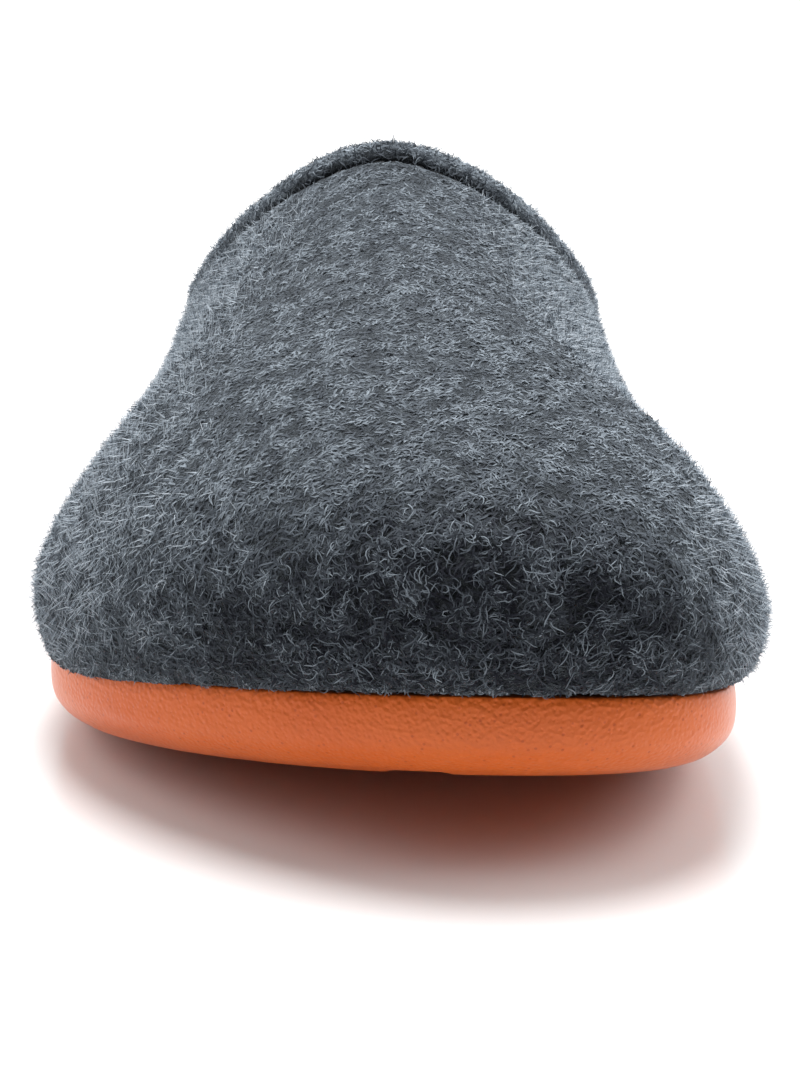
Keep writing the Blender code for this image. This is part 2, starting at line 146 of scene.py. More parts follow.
class Shader:
    """A Principled material while it is being wired."""

    MIX_LOW: ClassVar[int] = 6
    MIX_HIGH: ClassVar[int] = 7
    MIX_RESULT: ClassVar[int] = 2

    def __init__(self, name: str, roughness: float, gloss: float) -> None:
        """Start a material.

        Args:
            name: the material's name.
            roughness: how dull its shine is.
            gloss: how strong its shine is.
        """
        self.material = bpy.data.materials.new(name)
        self.material.use_nodes = True
        self.tree = self.material.node_tree
        self.surface = self.tree.nodes["Principled BSDF"]
        self.put("Roughness", roughness)
        self.put("Specular IOR Level", gloss)

    @cached_property
    def place(self) -> Socket:
        """The piece's own coordinates."""
        return self.node("ShaderNodeTexCoord").outputs["Object"]

    def put(self, socket: str, value: float | tuple[float, ...]) -> None:
        """Set one of the surface's own sockets."""
        self.surface.inputs[socket].default_value = value

    def node(self, kind: str, **settings: str) -> bpy.types.ShaderNode:
        """Add a node.

        Args:
            kind: the node's type.
            settings: the node's own properties.

        Returns:
            The new node.
        """
        made = self.tree.nodes.new(kind)
        for name, value in settings.items():
            setattr(made, name, value)
        return made

    def link(self, source: Socket, target: Socket) -> None:
        """Join two sockets."""
        self.tree.links.new(source, target)

    def noise(self, lumps: Lumps) -> Socket:
        """Noise on the piece's own coordinates.

        Args:
            lumps: the noise's sizes.

        Returns:
            The noise's value socket.
        """
        made = self.node("ShaderNodeTexNoise")
        made.inputs["Scale"].default_value = lumps.per_metre
        made.inputs["Detail"].default_value = lumps.detail
        made.inputs["Distortion"].default_value = lumps.wisp
        self.link(self.place, made.inputs["Vector"])
        return made.outputs["Fac"]

    def cells(self, per_metre: float, edge: CellEdge) -> Socket:
        """Cell pattern on the piece's own coordinates.

        Args:
            per_metre: how many cells there are in a metre.
            edge: how the cells meet.

        Returns:
            The socket with the distance from each cell's middle.
        """
        made = self.node("ShaderNodeTexVoronoi", feature=edge.value)
        made.inputs["Scale"].default_value = per_metre
        self.link(self.place, made.inputs["Vector"])
        return made.outputs["Distance"]

    def attribute(self, name: str) -> Socket:
        """The piece's own attribute of that name."""
        return self.node("ShaderNodeAttribute", attribute_name=name).outputs["Fac"]

    def ramp(self, source: Socket, stops: Stops) -> Socket:
        """Colours along a value.

        Args:
            source: the value.
            stops: places from 0 to 1, each with its colour.

        Returns:
            The colour socket.
        """
        made = self.node("ShaderNodeValToRGB")
        elements = made.color_ramp.elements
        while len(elements) < len(stops):
            elements.new(1.0)
        for element, (place, colour) in zip(elements, stops):
            element.position = place
            element.color = (*colour, 1.0)
        self.link(source, made.inputs["Fac"])
        return made.outputs["Color"]

    def math(self, operation: str, first: Socket, second: Socket | float = 0.0) -> Socket:
        """One step of arithmetic.

        Args:
            operation: what is done.
            first: the value that it is done to.
            second: the other value, where the operation needs one.

        Returns:
            The result's socket.
        """
        made = self.node("ShaderNodeMath", operation=operation)
        self.link(first, made.inputs[0])
        if isinstance(second, Socket):
            self.link(second, made.inputs[1])
        else:
            made.inputs[1].default_value = second
        return made.outputs["Value"]

    def painted_shade(self, colour: Socket, factor: Socket) -> Socket:
        """A colour made darker or lighter.

        Args:
            colour: the colour.
            factor: what it is multiplied by.

        Returns:
            The shaded colour's socket.
        """
        made = self.node("ShaderNodeVectorMath", operation="SCALE")
        self.link(colour, made.inputs[0])
        self.link(factor, made.inputs["Scale"])
        return made.outputs["Vector"]

    def blend(self, factor: Socket, low: Colour, high: Socket) -> Socket:
        """From a fixed colour to another one.

        Args:
            factor: how far it has gone, from 0 to 1.
            low: the colour at 0.
            high: the colour at 1.

        Returns:
            The blended colour's socket.
        """
        made = self.node("ShaderNodeMix", data_type="RGBA")
        self.link(factor, made.inputs["Factor"])
        made.inputs[self.MIX_LOW].default_value = (*low, 1.0)
        self.link(high, made.inputs[self.MIX_HIGH])
        return made.outputs[self.MIX_RESULT]

    def bump(self, height: Socket, depth: float, under: Socket | None = None) -> Socket:
        """Relief from a height.

        Args:
            height: the height, from 0 to 1.
            depth: metres from the lowest to the highest.
            under: relief that this one lies on, if any.

        Returns:
            The normal socket.
        """
        made = self.node("ShaderNodeBump")
        made.inputs["Strength"].default_value = 1.0
        made.inputs["Distance"].default_value = depth
        self.link(height, made.inputs["Height"])
        if under is not None:
            self.link(under, made.inputs["Normal"])
        return made.outputs["Normal"]

    def finish(self, colour: Socket, normal: Socket | None = None) -> bpy.types.Material:
        """Wire the surface.

        Args:
            colour: the surface's colour.
            normal: its relief, if any.

        Returns:
            The finished material.
        """
        self.link(colour, self.surface.inputs["Base Color"])
        if normal is not None:
            self.link(normal, self.surface.inputs["Normal"])
        return self.material


@dataclass(frozen=True)
class FeltFinish:
    """Pressed wool: a mottled ground of short fibres, with a soft bloom at its edges."""

    name: str
    stops: Stops
    fibres: Lumps = Lumps(per_metre=900.0, detail=4.0, wisp=2.5)
    mottle: Lumps = Lumps(per_metre=240.0, detail=3.0, wisp=0.6)
    mottle_base: float = 0.5
    relief: float = 0.0009
    roughness: float = 0.95
    gloss: float = 0.1
    bloom: float = 0.25
    bloom_roughness: float = 0.5
    bloom_tint: Colour = (0.75, 0.85, 0.95)

    def material(self) -> bpy.types.Material:
        """Make the material; it reads the piece's attribute of painted shade and light, by which its
        colour is multiplied.

        Returns:
            The new material.
        """
        shader = Shader(self.name, self.roughness, self.gloss)
        shader.put("Sheen Weight", self.bloom)
        shader.put("Sheen Roughness", self.bloom_roughness)
        shader.put("Sheen Tint", (*self.bloom_tint, 1.0))
        mottle = shader.math("ADD", shader.noise(self.mottle), self.mottle_base)
        mixed = shader.math("MULTIPLY", shader.noise(self.fibres), mottle)
        # The felt's colour times its painted shade and light: darker in voids, on the toe's wall and in
        # the groove, lighter on the roll's face.
        shaded = shader.painted_shade(shader.ramp(mixed, self.stops), shader.attribute("painted_shade"))
        return shader.finish(shaded, shader.bump(mixed, self.relief))


@dataclass(frozen=True)
class NapFinish:
    """Loose wool fibres, from charcoal to pale blue-grey by the tone of each fibre, which holds painted
    light and shade as well as the fibre's own colour.
    """

    name: str
    stops: Stops
    roughness: float = 0.75
    gloss: float = 0.2

    def material(self) -> bpy.types.Material:
        """Make the material; it reads the piece's attribute called tone."""
        shader = Shader(self.name, self.roughness, self.gloss)
        return shader.finish(shader.ramp(shader.attribute("tone"), self.stops))


@dataclass(frozen=True)
class FoamFinish:
    """Moulded foam: a fine leathery grain, slight clouding, scattered pits as dark dots of painted shade
    with no relief, and a tread of wavy sipes.
    """

    name: str
    stops: Stops
    cloud: Lumps = Lumps(per_metre=45.0, detail=3.0)
    grain_per_metre: float = 1700.0
    wrinkle: Lumps = Lumps(per_metre=850.0, detail=3.0)
    grain_relief: float = 0.00020
    painted_pit_shade: Colour = (0.530, 0.082, 0.009)
    pit_per_metre: float = 760.0
    pit_radius: float = 0.19
    pit_core: float = 0.6
    sipe_pitch: float = 0.0085
    sipe_depth: float = 0.0008
    sipe_wave: float = 0.004
    sipe_wave_length: float = 0.050
    sipe_edge: float = 0.55
    sipe_floor: float = 0.92
    roughness: float = 0.44
    gloss: float = 0.2
    coat: float = 0.7
    coat_roughness: float = 0.32
    coat_ior: float = 1.25

    def material(self) -> bpy.types.Material:
        """Make the material; it reads the piece's attribute called off_tread.

        Returns:
            The new material.
        """
        shader = Shader(self.name, self.roughness, self.gloss)
        shader.put("Coat Weight", self.coat)
        shader.put("Coat Roughness", self.coat_roughness)
        shader.put("Coat IOR", self.coat_ior)
        clouded = shader.ramp(shader.noise(self.cloud), self.stops)
        # Painted shade: the pits are darker dots in the colour, with no relief.
        pits = shader.cells(self.pit_per_metre, CellEdge.CRISP)
        closed = shader.ramp(pits, ((self.pit_radius * self.pit_core, BLACK), (self.pit_radius, WHITE)))
        colour = shader.blend(closed, self.painted_pit_shade, clouded)
        grain = shader.cells(self.grain_per_metre, CellEdge.SOFT)
        skin = shader.bump(shader.math("ADD", grain, shader.noise(self.wrinkle)), self.grain_relief)
        return shader.finish(colour, shader.bump(self.tread(shader), self.sipe_depth, skin))

    def tread(self, shader: Shader) -> Socket:
        """How high the tread stands: 0 in its wavy sipes, 1 between them and off the underside.

        Args:
            shader: the material that is being wired.

        Returns:
            The height's socket.
        """
        split = shader.node("ShaderNodeSeparateXYZ")
        shader.link(shader.place, split.inputs["Vector"])
        across = shader.math("MULTIPLY", split.outputs["X"], FULL_TURN / self.sipe_wave_length)
        sway = shader.math("MULTIPLY", shader.math("SINE", across), self.sipe_wave)
        along = shader.math("ADD", split.outputs["Y"], sway)
        beat = shader.math("COSINE", shader.math("MULTIPLY", along, FULL_TURN / self.sipe_pitch))
        land = shader.ramp(beat, ((self.sipe_edge, WHITE), (self.sipe_floor, BLACK)))
        return shader.math("MAXIMUM", land, shader.attribute("off_tread"))


@dataclass(frozen=True)
class ThreadFinish:
    """Twisted sewing thread."""

    name: str
    stops: Stops
    twist: Lumps = Lumps(per_metre=2600.0, detail=2.0)
    relief: float = 0.0001
    roughness: float = 0.8
    gloss: float = 0.5

    def material(self) -> bpy.types.Material:
        """Make the material.

        Returns:
            The new material.
        """
        shader = Shader(self.name, self.roughness, self.gloss)
        twist = shader.noise(self.twist)
        return shader.finish(shader.ramp(twist, self.stops), shader.bump(twist, self.relief))


@dataclass(frozen=True)
class FloorFinish:
    """A pale satin floor with faint clouding."""

    name: str
    stops: Stops
    cloud: Lumps = Lumps(per_metre=3.0, detail=2.0)
    roughness: float = 0.24
    gloss: float = 0.6

    def material(self) -> bpy.types.Material:
        """Make the material."""
        shader = Shader(self.name, self.roughness, self.gloss)
        return shader.finish(shader.ramp(shader.noise(self.cloud), self.stops))


UPPER_FELT = FeltFinish(
    name="upper_felt",
    stops=(
        (0.25, (0.016, 0.018, 0.022)),
        (0.50, (0.060, 0.070, 0.081)),
        (0.75, (0.150, 0.172, 0.193)),
    ),
)
INSOLE_FELT = FeltFinish(
    name="insole_felt",
    stops=(
        (0.25, (0.035, 0.038, 0.042)),
        (0.50, (0.075, 0.080, 0.087)),
        (0.75, (0.150, 0.160, 0.170)),
    ),
    relief=0.0006,
)
WOOL_NAP = NapFinish(
    name="wool_nap",
    stops=(
        (0.00, (0.0085, 0.0100, 0.0165)),
        (0.45, (0.101, 0.119, 0.141)),
        (0.80, (0.285, 0.330, 0.375)),
        (1.00, (0.440, 0.490, 0.540)),
    ),
)
SOLE_FOAM = FoamFinish(
    name="sole_foam",
    stops=(
        (0.30, (0.635, 0.112, 0.012)),
        (0.50, (0.665, 0.122, 0.014)),
        (0.72, (0.690, 0.135, 0.017)),
    ),
)
COLLAR_THREAD = ThreadFinish(
    name="collar_thread",
    stops=(
        (0.35, (0.012, 0.014, 0.017)),
        (0.65, (0.040, 0.044, 0.050)),
    ),
)
STUDIO_FLOOR = FloorFinish(
    name="studio_floor",
    stops=(
        (0.00, (0.83, 0.83, 0.83)),
        (1.00, (0.85, 0.85, 0.85)),
    ),
)


def merged_copy(node: str) -> bmesh.types.BMesh:
    """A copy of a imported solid, its loose triangles welded and paired into quads.

    Args:
        node: the solid's name.

    Returns:
        The welded copy.
    """
    shaped = bmesh.new()
    shaped.from_mesh(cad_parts[node].data)
    bmesh.ops.remove_doubles(shaped, verts=shaped.verts, dist=WELD)
    bmesh.ops.join_triangles(
        shaped,
        faces=shaped.faces,
        angle_face_threshold=PAIR_BEND,
        angle_shape_threshold=PAIR_SKEW,
    )
    shaped.normal_update()
    crease = shaped.edges.layers.float.new("crease_edge")
    for edge in shaped.edges:
        if edge.is_manifold and edge.calc_face_angle() > SHARP:
            edge[crease] = KEPT_SHARP
    return shaped


def mesh_from(shaped: bmesh.types.BMesh, name: str) -> bpy.types.Mesh:
    """A mesh from a bmesh.

    Args:
        shaped: the bmesh, which is used up.
        name: the new mesh's name.

    Returns:
        The new mesh.
    """
    mesh = bpy.data.meshes.new(name)
    shaped.to_mesh(mesh)
    shaped.free()
    return mesh


def add_object(name: str, data: bpy.types.ID) -> bpy.types.Object:
    """Put a new object in the scene.

    Args:
        name: the object's name.
        data: its mesh, light or lens.

    Returns:
        The new object.
    """
    made = bpy.data.objects.new(name, data)
    bpy.context.scene.collection.objects.link(made)
    return made


def refined(shaped: bmesh.types.BMesh, name: str, levels: int) -> bpy.types.Object:
    """A smooth, finely divided object from a welded copy.

    Args:
        shaped: the welded copy, which is used up.
        name: the new object's name.
        levels: how often each face is divided.

    Returns:
        The new object, with no modifier left on it.
    """
    coarse = mesh_from(shaped, name + "_coarse")
    made = add_object(name, coarse)
    divide = made.modifiers.new("divide", "SUBSURF")
    divide.levels = levels
    divide.render_levels = levels
    graph = bpy.context.evaluated_depsgraph_get()
    fine = bpy.data.meshes.new_from_object(made.evaluated_get(graph))
    fine.name = name
    made.modifiers.clear()
    made.data = fine
    bpy.data.meshes.remove(coarse)
    fine.shade_smooth()
    return made


def vertex_arrays(mesh: bpy.types.Mesh) -> tuple[np.ndarray, np.ndarray]:
    """Read a mesh's vertices.

    Args:
        mesh: the mesh.

    Returns:
        The vertices' places and their normals, one to a row.
    """
    count = len(mesh.vertices)
    places = np.empty(count * 3)
    normals = np.empty(count * 3)
    mesh.vertices.foreach_get("co", places)
    mesh.vertices.foreach_get("normal", normals)
    return places.reshape(-1, 3), normals.reshape(-1, 3)


def set_places(mesh: bpy.types.Mesh, places: np.ndarray) -> None:
    """Move a mesh's vertices."""
    mesh.vertices.foreach_set("co", places.astype(np.float32).ravel())
    mesh.update()


def set_attribute(mesh: bpy.types.Mesh, name: str, values: np.ndarray) -> None:
    """Store one number for each vertex."""
    made = mesh.attributes.new(name, "FLOAT", "POINT")
    made.data.foreach_set("value", values.astype(np.float32))


def dress(piece: bpy.types.Object, material: bpy.types.Material) -> None:
    """Give a piece its material and the body that it rides on.

    Args:
        piece: the piece.
        material: what it is made of.
    """
    piece.data.materials.clear()
    piece.data.materials.append(material)
    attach(piece, BODY)


def away_from(targets: np.ndarray, points: np.ndarray) -> np.ndarray:
    """From the nearest target to each point.

    Args:
        targets: places to measure from, one to a row.
        points: places to measure to, one to a row.

    Returns:
        One vector for each point.
    """
    tree = KDTree(len(targets))
    for index, target in enumerate(targets):
        tree.insert(target, index)
    tree.balance()
    return points - np.array([tree.find(point)[0] for point in points])


@dataclass(frozen=True)
class FootRoom:
    """The foot's room inside the upper, as a level line through its middle."""

    front: float = -0.095
    back: float = 0.070
    height: float = 0.033

    def outwardness(self, places: np.ndarray, normals: np.ndarray) -> np.ndarray:
        """How far each normal points away from the room.

        Args:
            places: places on the upper, one to a row.
            normals: the upper's normals there, one to a row.

        Returns:
            A number from -1 to 1 for each place.
        """
        middle = np.column_stack([
            np.zeros(len(places)),
            np.clip(places[:, 1], self.front, self.back),
            np.full(len(places), self.height),
        ])
        return np.einsum("ij,ij->i", unit(places - middle), normals)


@dataclass(frozen=True)
class Tufts:
    """How the wool gathers: from 0 in a void to 1 on a tuft."""

    middle: float = 0.5
    coarse_per_metre: float = 320.0
    coarse_share: float = 0.62
    fine_per_metre: float = 760.0
    fine_share: float = 0.75

    def at(self, points: np.ndarray) -> np.ndarray:
        """How far each point is on a tuft.

        Args:
            points: places, one to a row.

        Returns:
            A share from 0 to 1 for each place.
        """
        coarse = noise_at(points, self.coarse_per_metre, Pattern.COARSE_TUFTS)
        fine = noise_at(points, self.fine_per_metre, Pattern.FINE_TUFTS)
        return smoothstep(self.middle + self.coarse_share * coarse + self.fine_share * fine)


FOOT_ROOM = FootRoom()
TUFTS = Tufts()


class Groove:
    """The sewn groove under the collar roll, found as the upper's one sharp inward fold."""

    FOLD: ClassVar[float] = math.radians(-30.0)
    FRONT_END: ClassVar[float] = -0.03
    STEP: ClassVar[float] = 0.0005
    TURN_POINT: ClassVar[Vector] = Vector((0.0, 0.075, 0.0))

    def __init__(self, shaped: bmesh.types.BMesh) -> None:
        """Find the line.

        Args:
            shaped: a welded copy of the upper.
        """
        places = [vertex.co.copy() for vertex in shaped.verts if self.is_folded(vertex)]
        places.sort(key=self.turn)
        self.line = np.array(places)
        LOG.info("groove: %d points", len(places))

    def is_folded(self, vertex: bmesh.types.BMVert) -> bool:
        """Whether a vertex lies in the fold on the outer face, by the mouth.

        Args:
            vertex: a vertex of the upper.

        Returns:
            True in the fold.
        """
        if not any(edge.calc_face_angle_signed(0.0) < self.FOLD for edge in vertex.link_edges):
            return False
        outward = FOOT_ROOM.outwardness(np.array([vertex.co]), np.array([vertex.normal]))[0]
        return outward > 0.0 and vertex.co.y > self.FRONT_END

    def turn(self, place: Vector) -> float:
        """Angle round the mouth, by which the points are put in order."""
        away = place - self.TURN_POINT
        return math.atan2(away.x, -away.y)

    def along(self, step: float) -> np.ndarray:
        """Points at an even step along the line.

        Args:
            step: metres between two points.

        Returns:
            The points, one to a row.
        """
        lengths = np.linalg.norm(np.diff(self.line, axis=0), axis=1)
        reached = np.concatenate([[0.0], np.cumsum(lengths)])
        wanted = np.arange(0.0, reached[-1], step)
        return np.column_stack([np.interp(wanted, reached, axis) for axis in self.line.T])

    def away(self, points: np.ndarray) -> np.ndarray:
        """From the nearest place on the line to each point."""
        return away_from(self.along(self.STEP), points)


@dataclass
class Zones:
    """Where each vertex of the upper lies: shares from 0 to 1, and two distances in metres."""

    outside: np.ndarray
    toe_wall: np.ndarray
    clump: np.ndarray
    roll: np.ndarray
    painted_light_roll_face: np.ndarray
    side: np.ndarray
    hem: np.ndarray
    from_groove: np.ndarray
    from_hem: np.ndarray


@dataclass
class DressedUpper:
    """The finished upper with what its nap and stitches follow."""

    piece: bpy.types.Object
    groove: Groove
    zones: Zones


@dataclass
class Upper:
    """The felt upper: the solid's own form, softened and slightly lumpy, with a sewn groove; painted
    shade darkens its voids, its toe's wall and the groove, and painted light brightens the roll's face.
    """

    levels: int = 2
    lump: float = 0.00020
    lump_per_metre: float = 95.0
    nap_ground: float = 0.00025
    tuft: float = 0.00025
    toe_tuft: float = 0.00055
    tuft_from_groove: float = 0.0030
    # Painted shade in the voids between tufts: how dark the felt is there.
    painted_void_shade: float = 0.45
    # Painted shade on the toe's wall: how dark its voids and its tufts are.
    painted_toe_void_shade: float = 0.08
    painted_toe_shade: float = 0.55
    groove_width: float = 0.0012
    groove_depth: float = 0.00010
    # Painted shade along the groove.
    painted_groove_shade: float = 0.15
    roll_start: float = 0.0008
    roll_reach: float = 0.0085
    roll_fade: float = 0.0020
    roll_swell: float = 0.0004
    roll_swell_half_width: float = 0.022
    # The band of the roll's face next to the groove, and how much lighter painted light makes the felt
    # there.
    roll_face_reach: float = 0.0042
    roll_face_fade: float = 0.0018
    painted_roll_face_light: float = 4.0
    low_corner: Span = (-0.042, -0.095)
    low_corner_reach: float = 0.022
    low_corner_drop: float = 0.0017
    low_corner_height: float = 0.007
    hem_depth: float = 0.0016
    underside_facing: float = 0.75
    underside_stride: int = 3
    outside_from: float = -0.25
    outside_over: float = 0.40
    toe_wall_from: float = 0.25
    toe_wall_over: float = 0.55
    toe_wall_sideways: float = 0.40
    side_from: float = 0.40
    side_over: float = 0.50
    MOUTH: ClassVar[np.ndarray] = np.array([0.0, 0.060, 0.130])

    def build(self) -> DressedUpper:
        """Make the upper.

        Returns:
            The upper, with the groove and the zones that its stitches and nap follow.
        """
        shaped = merged_copy("upper")
        groove = Groove(shaped)
        piece = refined(shaped, "felt_upper", self.levels)
        places, normals = vertex_arrays(piece.data)
        zones = self.zones(groove, places, normals)
        set_places(piece.data, self.softened(places, normals, zones))
        # The felt's painted shade and light, kept for its material.
        set_attribute(piece.data, "painted_shade", self.painted_shades(zones))
        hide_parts("upper")
        dress(piece, UPPER_FELT.material())
        return DressedUpper(piece, groove, zones)

    def softened(self, places: np.ndarray, normals: np.ndarray, zones: Zones) -> np.ndarray:
        """Where the vertices move to: lumps, tufts, the roll's swelling, the groove and the low corner.

        Args:
            places: the vertices' places, one to a row.
            normals: the vertices' normals, one to a row.
            zones: where each vertex lies.

        Returns:
            The new places, one to a row.
        """
        lumps = self.lump * noise_at(places, self.lump_per_metre, Pattern.UPPER_LUMPS)
        height = blend(self.tuft, self.toe_tuft, zones.toe_wall)
        tufts = self.nap_ground + height * (zones.clump - TUFTS.middle)
        lumps += tufts * zones.outside * smoothstep(zones.from_groove / self.tuft_from_groove)
        apex = nearness(places[:, 0], self.roll_swell_half_width)
        sunk = self.groove_depth * nearness(zones.from_groove, self.groove_width)
        lumps += self.roll_swell * zones.roll * apex - sunk
        moved = places + normals * lumps[:, None]
        moved[:, 2] -= self.corner_drop(places, zones)
        return moved

    def corner_drop(self, places: np.ndarray, zones: Zones) -> np.ndarray:
        """How far the hem hangs over the sole at the little-toe corner.

        Args:
            places: the vertices' places, one to a row.
            zones: where each vertex lies.

        Returns:
            Metres downwards for each vertex.
        """
        away = (places[:, :2] - self.low_corner) / self.low_corner_reach
        low = smoothstep(1.0 - zones.from_hem / self.low_corner_height)
        near = np.exp(-(away ** 2).sum(axis=1)) * low
        return self.low_corner_drop * near * zones.outside

    def painted_shades(self, zones: Zones) -> np.ndarray:
        """Painted shade and light on the felt under its nap: darker in the voids, on the toe's wall and
        in the groove, lighter on the roll's face.

        Args:
            zones: where each vertex lies.

        Returns:
            A factor for each vertex.
        """
        void = blend(self.painted_void_shade, self.painted_toe_void_shade, zones.toe_wall)
        tuft = blend(1.0, self.painted_toe_shade, zones.toe_wall)
        painted_shade = blend(void, tuft, zones.clump) * blend(1.0, self.painted_roll_face_light, zones.painted_light_roll_face)
        return painted_shade * blend(1.0, self.painted_groove_shade, nearness(zones.from_groove, self.groove_width))

    def zones(self, groove: Groove, places: np.ndarray, normals: np.ndarray) -> Zones:
        """Find where each vertex lies.

        Args:
            groove: the collar's groove.
            places: the vertices' places, one to a row.
            normals: the vertices' normals, one to a row.

        Returns:
            The zones, with one number for each vertex.
        """
        sideways = np.abs(normals[:, 0])
        forward = -normals[:, 1] - self.toe_wall_sideways * sideways
        outward = FOOT_ROOM.outwardness(places, normals)
        outside = smoothstep((outward - self.outside_from) / self.outside_over)
        away = groove.away(places)
        from_groove = np.linalg.norm(away, axis=1)
        mouthward = np.einsum("ij,ij->i", away, unit(self.MOUTH - places))
        roll = smoothstep(mouthward / self.roll_start)
        roll = roll * smoothstep((self.roll_reach - from_groove) / self.roll_fade) * outside
        underside = places[normals[:, 2] < -self.underside_facing]
        from_hem = np.linalg.norm(away_from(underside[::self.underside_stride], places), axis=1)
        return Zones(
            outside=outside,
            toe_wall=smoothstep((forward - self.toe_wall_from) / self.toe_wall_over) * outside,
            clump=TUFTS.at(places),
            roll=roll,
            painted_light_roll_face=roll * smoothstep((self.roll_face_reach - from_groove) / self.roll_face_fade),
            side=smoothstep((sideways - self.side_from) / self.side_over) * outside,
            hem=smoothstep((self.hem_depth - from_hem) / (self.hem_depth / 2.0)) * outside,
            from_groove=from_groove,
            from_hem=from_hem,
        )


@dataclass
class CollarStitching:
    """A row of short stitches sunk in the collar's groove."""

    pitch: float = 0.0034
    length: float = 0.0023
    radius: float = 0.00032
    sides: int = 6
    rings: int = 5

    def build(self, groove: Groove) -> bpy.types.Object:
        """Make the stitches.

        Args:
            groove: the groove that they follow.

        Returns:
            The new piece.
        """
        line = groove.along(self.pitch)
        stretched = Matrix.Diagonal((self.radius, self.radius, self.length / 2.0, 1.0))
        shaped = bmesh.new()
        for before, after in zip(line[:-1], line[1:]):
            middle = Matrix.Translation(Vector((before + after) / 2.0))
            turned = Vector(after - before).to_track_quat("Z", "Y").to_matrix().to_4x4()
            bmesh.ops.create_uvsphere(
                shaped,
                u_segments=self.sides,
                v_segments=self.rings,
                radius=1.0,
                matrix=middle @ turned @ stretched,
            )
        piece = add_object("collar_stitches", mesh_from(shaped, "collar_stitches"))
        piece.data.shade_smooth()
        dress(piece, COLLAR_THREAD.material())
        return piece


class Tone(Enum):
    """How light a layer of fibres is: the middle of its tones and how far they spread."""

    CHARCOAL = (0.43, 0.05)
    SLATE = (0.51, 0.05)
    PALE = (0.60, 0.05)
    # Partly painted light: a pale fuzz tone made brighter to stand in for light catching the edges.
    BRIGHT = (0.84, 0.06)


class Patch(Enum):
    """Which part of the upper a layer of fibres grows on."""

    ALL_OVER = "all over"
    HEM = "along the hem"
    SIDES = "on the sides and the collar's roll"


@dataclass(frozen=True)
class NapLayer:
    """One layer of loose fibres, made as thin ribbons that end in a point."""

    name: str
    tone: Tone
    count: int
    segments: int
    length: Span
    width: float
    lift: Span
    bend: float
    kink: float
    clumping: float
    seed: int
    top_length: float = 1.0
    toe_share: float = 1.0
    # Painted shade on the toe's wall: a factor on the fibres' tone there, and a share of the painted
    # tuft light and void shade.
    painted_toe_tone: float = 1.0
    toe_tuft: float = 1.0
    patch: Patch = Patch.ALL_OVER


NAP_GROUND = NapLayer(
    name="nap_ground",
    tone=Tone.CHARCOAL,
    count=54000,
    segments=2,
    length=(0.0012, 0.0026),
    width=0.00030,
    lift=(0.08, 0.36),
    bend=1.0,
    kink=0.4,
    clumping=0.50,
    seed=11,
    top_length=0.60,
    toe_share=0.7,
    painted_toe_tone=0.07,
    toe_tuft=0.3,
)
NAP_SHORT = NapLayer(
    name="nap_short",
    tone=Tone.SLATE,
    count=56000,
    segments=2,
    length=(0.0012, 0.0028),
    width=0.00025,
    lift=(0.08, 0.38),
    bend=1.2,
    kink=0.5,
    clumping=0.80,
    seed=12,
    top_length=0.58,
    toe_share=0.7,
    painted_toe_tone=0.07,
    toe_tuft=0.3,
)
NAP_CURLS = NapLayer(
    name="nap_curls",
    tone=Tone.SLATE,
    count=21000,
    segments=5,
    length=(0.0013, 0.0032),
    width=0.00017,
    lift=(0.06, 0.26),
    bend=1.2,
    kink=0.6,
    clumping=0.96,
    seed=13,
    top_length=0.40,
    toe_share=2.2,
    painted_toe_tone=0.21,
)
NAP_WISPS = NapLayer(
    name="nap_wisps",
    tone=Tone.PALE,
    count=21000,
    segments=5,
    length=(0.0013, 0.0034),
    width=0.00015,
    lift=(0.08, 0.28),
    bend=1.3,
    kink=0.6,
    clumping=0.98,
    seed=14,
    top_length=0.40,
    toe_share=1.7,
    painted_toe_tone=0.49,
)
# Pale fuzz on the sides and the roll, partly painted light: its bright tone stands in for light along
# the edges.
NAP_FUZZ = NapLayer(
    name="nap_fuzz",
    tone=Tone.BRIGHT,
    count=58000,
    segments=1,
    length=(0.0011, 0.0022),
    width=0.00017,
    lift=(0.60, 1.20),
    bend=0.6,
    kink=0.2,
    clumping=0.30,
    seed=16,
    toe_share=0.5,
    painted_toe_tone=0.55,
    patch=Patch.SIDES,
)
NAP_HEM = NapLayer(
    name="nap_hem",
    tone=Tone.SLATE,
    count=12000,
    segments=2,
    length=(0.0002, 0.0006),
    width=0.00018,
    lift=(0.20, 0.70),
    bend=0.8,
    kink=0.3,
    clumping=0.0,
    seed=15,
    patch=Patch.HEM,
)


@dataclass
class Scatter:
    """Fibre roots on a mesh: the three corners round each root and their weights."""

    corners: np.ndarray
    mix: np.ndarray

    def at(self, values: np.ndarray) -> np.ndarray:
        """Vertex values at each root."""
        mix = self.mix if values.ndim == 1 else self.mix[..., None]
        return (values[self.corners] * mix).sum(axis=1)

    def chosen(self, chance: np.ndarray, count: int, rng: np.random.Generator) -> "Scatter":
        """Keep some of the roots.

        Args:
            chance: how likely each root is to stay.
            count: how many stay.
            rng: the random numbers to use.

        Returns:
            The roots that stay.
        """
        kept = np.argsort(rng.exponential(1.0, len(chance)) / chance)[:count]
        return Scatter(self.corners[kept], self.mix[kept])


